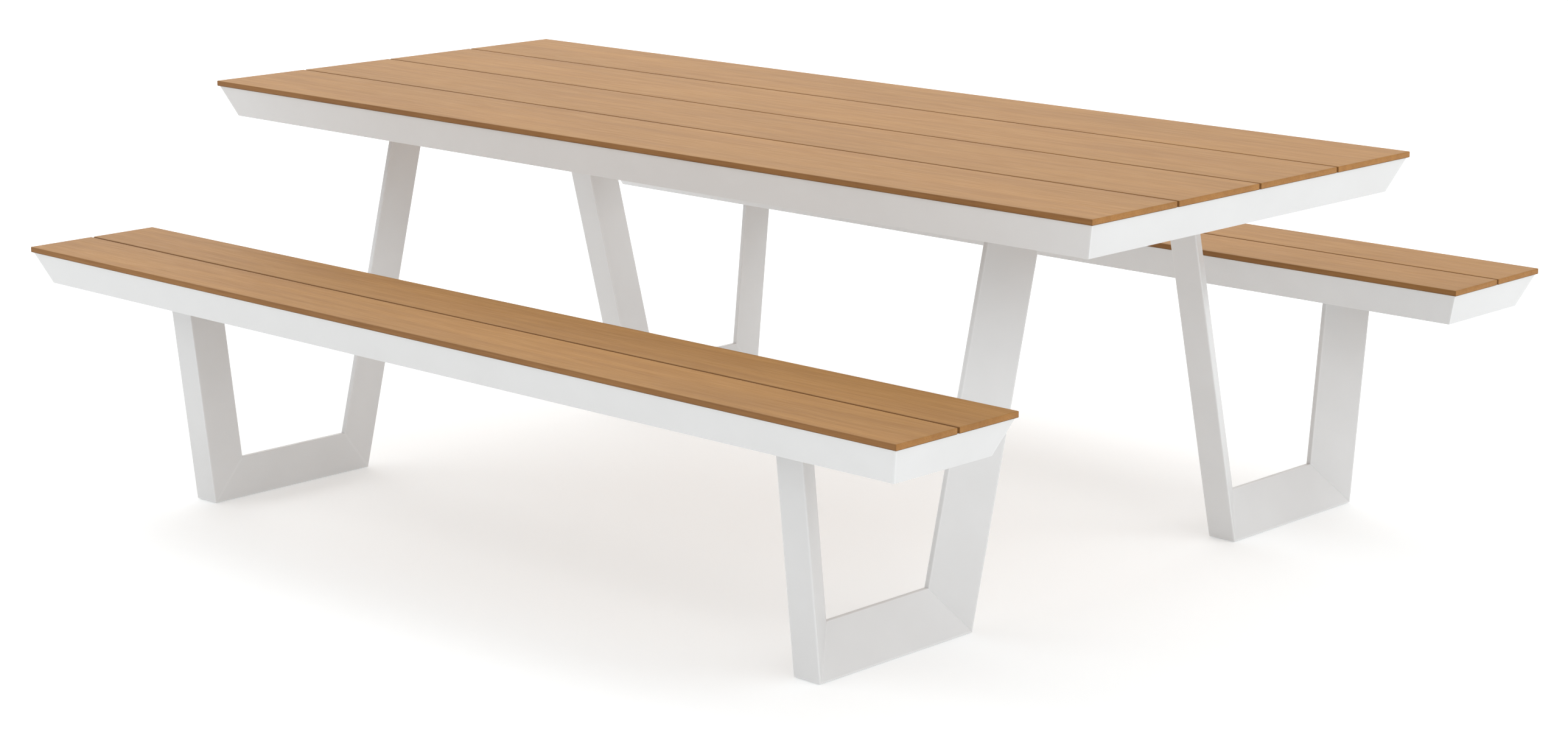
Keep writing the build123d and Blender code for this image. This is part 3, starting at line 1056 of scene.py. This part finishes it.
def plate_bolt_points(tray):
    """Bolt centres under a tray's leg plates, with the plates' underside: [(point, seat)]."""
    found = []
    for corner, _, _ in CORNERS:
        low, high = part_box(f"{tray}_leg_plate_{corner}")
        middle = (low + high) / 2
        for side_x in (1, -1):
            for side_y in (1, -1):
                shift = Vector((side_x * BOLT_PITCH_X / 2, side_y * BOLT_PITCH_Y / 2, 0))
                found.append((middle + shift, low.z))
    return found


def screw_points(tray, lines_by_row):
    """Board screw centres of one tray, with the bearers' underside: [(point, seat)]."""
    found = []
    for row in BEARER_ROWS:
        low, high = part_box(f"{tray}_bearer_{row}")
        middle = (low + high) / 2
        for line in lines_by_row(row):
            for side in (1, -1):
                found.append((middle + Vector((0, side * line, 0)), low.z))
    return found


def bench_lines(row):
    lines = [BENCH_SCREW_LINE_OUTER]
    if row.endswith("middle"):
        lines.append(BENCH_SCREW_LINE_INNER)
    return lines


def build_fixings():
    for tray in ("table", "bench"):
        node = f"{tray}_leg_bolts"
        bm = new_bmesh()
        for point, seat in plate_bolt_points(tray):
            add_bolt(bm, point, seat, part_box(node)[1].z)
        finish_piece(bm, node + "_threaded", ZINC, [node])
    screws = {
        "table_board_screws": screw_points("table", lambda row: TABLE_SCREW_LINES),
        "bench_board_screws": screw_points("front_bench", bench_lines)
        + screw_points("back_bench", bench_lines),
    }
    for node, points in screws.items():
        bm = new_bmesh()
        for point, seat in points:
            add_screw(bm, point, seat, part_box(node)[1].z)
        finish_piece(bm, node + "_threaded", ZINC, [node])


def build_glides():
    """Thin discs with a dished face, a rounded rim and a stem that presses into the foot bar."""
    low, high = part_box("foot_glides")
    foot_low, foot_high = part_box("foot_bar_right_back")
    x = (foot_low.x + foot_high.x) / 2
    radius = high.x - x
    thickness = foot_low.z - low.z
    rim = GLIDE_RIM
    rim_cut = rim * GLIDE_RIM_CUT
    bm = new_bmesh()
    for _, side_x, side_y in CORNERS:
        for y in (foot_low.y + GLIDE_INSET, foot_high.y - GLIDE_INSET):
            point = Vector((side_x * x, side_y * y, 0))
            rings = [
                circle(point, radius * GLIDE_DISH_SHARE, GLIDE_DISH, 0.0),
                circle(point, radius * GLIDE_LAND_SHARE, 0.0, 0.4),
                circle(point, radius - rim, 0.0, 1.0),
                circle(point, radius - rim_cut, rim_cut, 1.0),
                circle(point, radius, rim, 1.0),
                circle(point, radius, thickness, 0.4),
                circle(point, GLIDE_STEM_RADIUS, thickness, 0.0),
                circle(point, GLIDE_STEM_RADIUS, high.z - rim, 0.0),
                circle(point, GLIDE_STEM_RADIUS - rim, high.z, 1.0),
            ]
            loft(bm, rings, capped=True)
    finish_piece(bm, "foot_glides_moulded", PLASTIC, ["foot_glides"])


# ---- studio ---------------------------------------------------------------------------------------

# The photograph's view, with a plain tilt instead of its lens shift. Metres, degrees, and mm of lens.
CAMERA_AZIMUTH = 43.35
CAMERA_ELEVATION = 13.08
CAMERA_DISTANCE = 6.223
CAMERA_LENS = 74.87
CAMERA_SENSOR = 36
CAMERA_NEAR = 0.1
CAMERA_FAR = 200
CAMERA_TARGET = Vector((-0.0237, 0.0576, 0.2504))
FLOOR_HALF = 60  # metres from the middle of the studio floor to its sides


def direction_from(azimuth, elevation):
    """A unit vector towards a point round the table: azimuth 0 is the front, 90 is +X."""
    a = radians(azimuth)
    e = radians(elevation)
    return Vector((sin(a) * cos(e), -cos(a) * cos(e), sin(e)))


def build_camera():
    data = bpy.data.cameras.new("camera")
    data.lens = CAMERA_LENS
    data.sensor_width = CAMERA_SENSOR
    data.clip_start = CAMERA_NEAR
    data.clip_end = CAMERA_FAR
    camera = bpy.data.objects.new("camera", data)
    bpy.context.scene.collection.objects.link(camera)
    back = direction_from(CAMERA_AZIMUTH, CAMERA_ELEVATION)
    camera.location = CAMERA_TARGET + back * CAMERA_DISTANCE
    camera.rotation_euler = (-back).to_track_quat("-Z", "Y").to_euler()
    bpy.context.scene.camera = camera


def build_floor():
    mesh = bpy.data.meshes.new("studio_floor")
    corners = [(x * FLOOR_HALF, y * FLOOR_HALF, 0) for x, y in ((-1, -1), (1, -1), (1, 1), (-1, 1))]
    mesh.from_pydata(corners, [], [(0, 1, 2, 3)])
    mesh.materials.append(floor_material())
    floor = bpy.data.objects.new("studio_floor", mesh)
    bpy.context.scene.collection.objects.link(floor)


# name, azimuth, elevation, how wide the soft source is in degrees, strength
SOFT_LIGHTS = (
    ("overhead", 0, 90, 110, 0.44),
    ("back_left", 225, 40, 60, 0.92),
    ("right", 90, 30, 60, 0.88),
    ("left", 270, 30, 60, 0.45),
    ("front_left", 315, 35, 60, 0.45),
    ("back_right", 135, 45, 60, 0.30),
    ("front", 0, 35, 60, 0.08),
)


def build_lights():
    for name, azimuth, elevation, width, strength in SOFT_LIGHTS:
        data = bpy.data.lights.new(name, "SUN")
        data.energy = strength
        data.angle = radians(width)
        lamp = bpy.data.objects.new(name, data)
        bpy.context.scene.collection.objects.link(lamp)
        lamp.rotation_euler = (-direction_from(azimuth, elevation)).to_track_quat("-Z", "Y").to_euler()


AMBIENT = 0.49  # how strongly the backdrop lights the table, where the camera sees it at 1


def build_world():
    """A white backdrop that itself lights the table only gently."""
    world = bpy.data.worlds.new("studio")
    world.use_nodes = True
    tree = world.node_tree
    tree.nodes.clear()
    seen = add_node(tree, "LightPath").outputs["Is Camera Ray"]
    strength = remap(tree, seen, 0, 1, AMBIENT, 1.0)
    background = add_node(tree, "Background", {"Color": grey(1.0), "Strength": strength})
    output = add_node(tree, "OutputWorld")
    tree.links.new(background.outputs[0], output.inputs["Surface"])
    bpy.context.scene.world = world
    bpy.context.scene.view_settings.view_transform = "Standard"


# ---- assembly -------------------------------------------------------------------------------------

build_boards()
build_rails()
build_tray_seams()
build_bearers()
build_plates()
build_leg_frames()
build_frame_welds()
build_fixings()
build_glides()
build_floor()
build_camera()
build_lights()
build_world()
